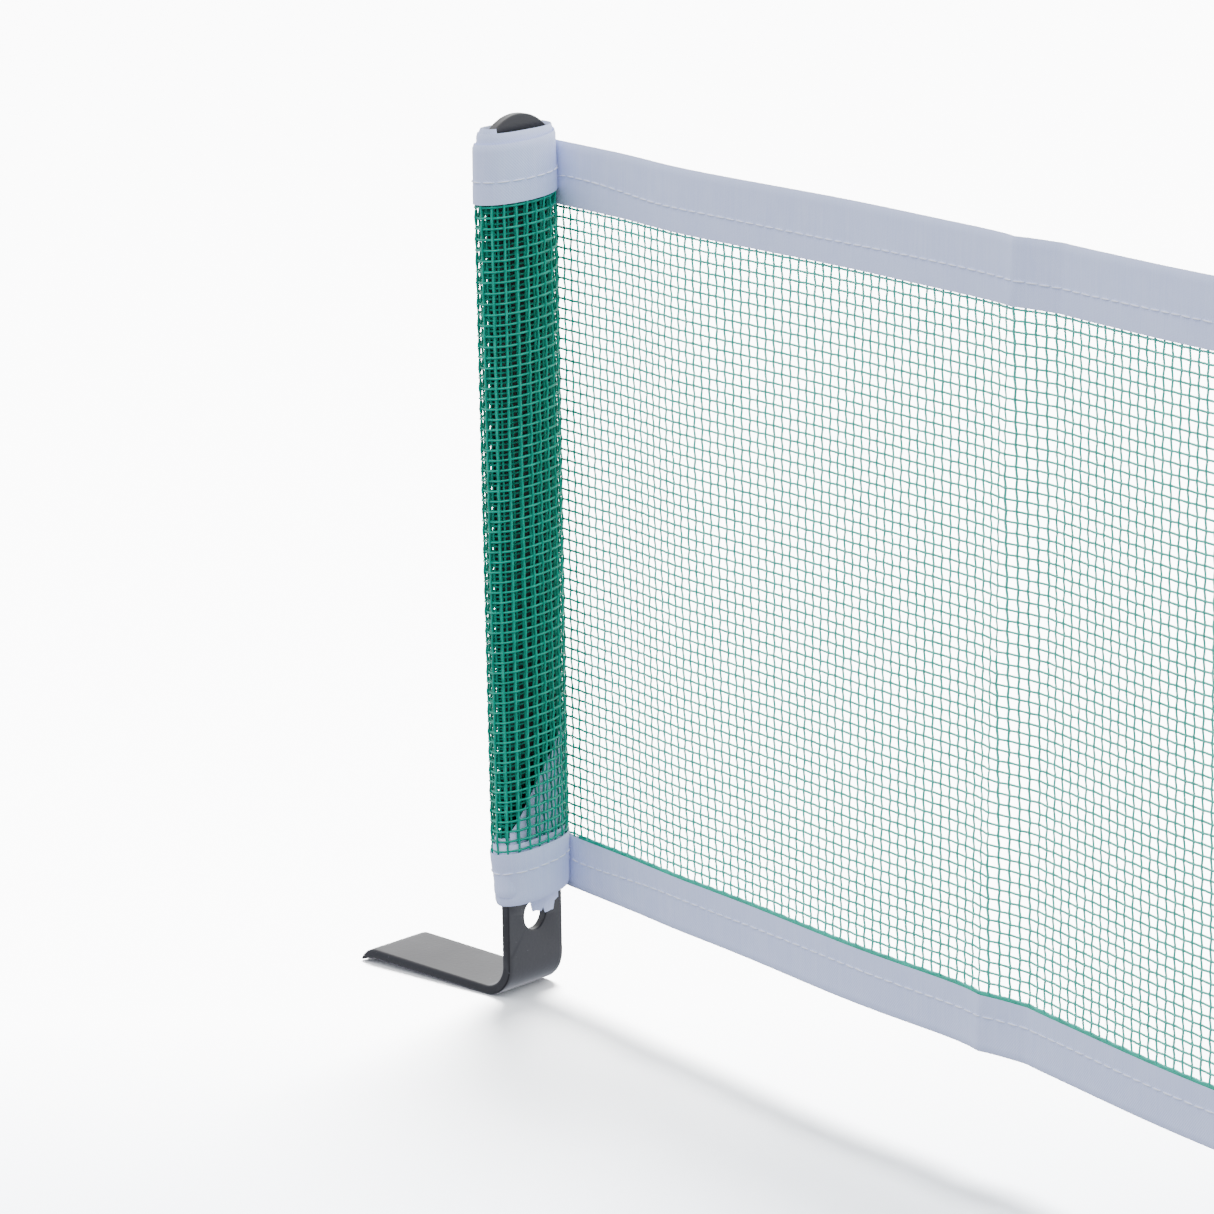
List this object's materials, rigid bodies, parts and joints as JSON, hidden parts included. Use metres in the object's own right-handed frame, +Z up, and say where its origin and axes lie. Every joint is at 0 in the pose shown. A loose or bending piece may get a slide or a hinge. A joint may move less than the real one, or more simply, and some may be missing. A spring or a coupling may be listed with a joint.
{
  "type": "table tennis net clamp",
  "caption": "Low table tennis net of taped mesh, each end wound round a bent strip steel clamp post with a foot and a screw hole.",
  "frame": {"origin": "bottom centre of the bounding box: on the ground, midway between the two clamp posts, in the middle plane of the net", "axes": "+X along the net from the left post to the right post, +Z up, +Y across the net; the left post stands on the -Y side of the net and the right post on the +Y side"},
  "size_m": [0.3246, 0.0536, 0.1804],
  "materials": {
    "black_steel": "satin black paint",
    "green_mesh": "green plastic-coated thread, woven open, slight gloss",
    "green_selvage": "green plastic-coated thread, doubled",
    "white_tape": "cool white woven tape, fine twill, matt",
    "sewing_thread": "white sewing thread"
  },
  "bodies": {
    "left_post": {"left_clamp_post": "black_steel"},
    "left_winding": {"left_wound_mesh": "green_mesh", "left_wound_top_tape": "white_tape", "left_wound_bottom_tape": "white_tape", "left_wound_top_stitching": "sewing_thread", "left_wound_bottom_stitching": "sewing_thread", "left_corner_patch": "white_tape", "left_tape_tail": "white_tape"},
    "net": {"net_mesh": "green_mesh", "net_bottom_selvage": "green_selvage", "net_top_tape": "white_tape", "net_bottom_tape": "white_tape", "net_top_stitching": "sewing_thread", "net_bottom_stitching": "sewing_thread"},
    "right_winding": {"right_wound_mesh": "green_mesh", "right_wound_top_tape": "white_tape", "right_wound_bottom_tape": "white_tape", "right_wound_top_stitching": "sewing_thread", "right_wound_bottom_stitching": "sewing_thread", "right_corner_patch": "white_tape", "right_tape_tail": "white_tape"},
    "right_post": {"right_clamp_post": "black_steel"}
  },
  "joints": [
    {"name": "left_winding_slide", "type": "slide", "parent": "left_post", "child": "left_winding", "axis": [0, 0, 1], "range_m": [-0.015, 0.16]},
    {"name": "net_left_fold", "type": "hinge", "parent": "left_winding", "child": "net", "pos_m": [-0.11, 0, 0.0975], "axis": [0, 0, 1], "range_deg": [-90, 90]},
    {"name": "net_right_fold", "type": "hinge", "parent": "net", "child": "right_winding", "pos_m": [0.11, 0, 0.0975], "axis": [0, 0, 1], "range_deg": [-90, 90]},
    {"name": "right_post_slide", "type": "slide", "parent": "right_winding", "child": "right_post", "axis": [0, 0, 1], "range_m": [-0.16, 0.015]}
  ]
}
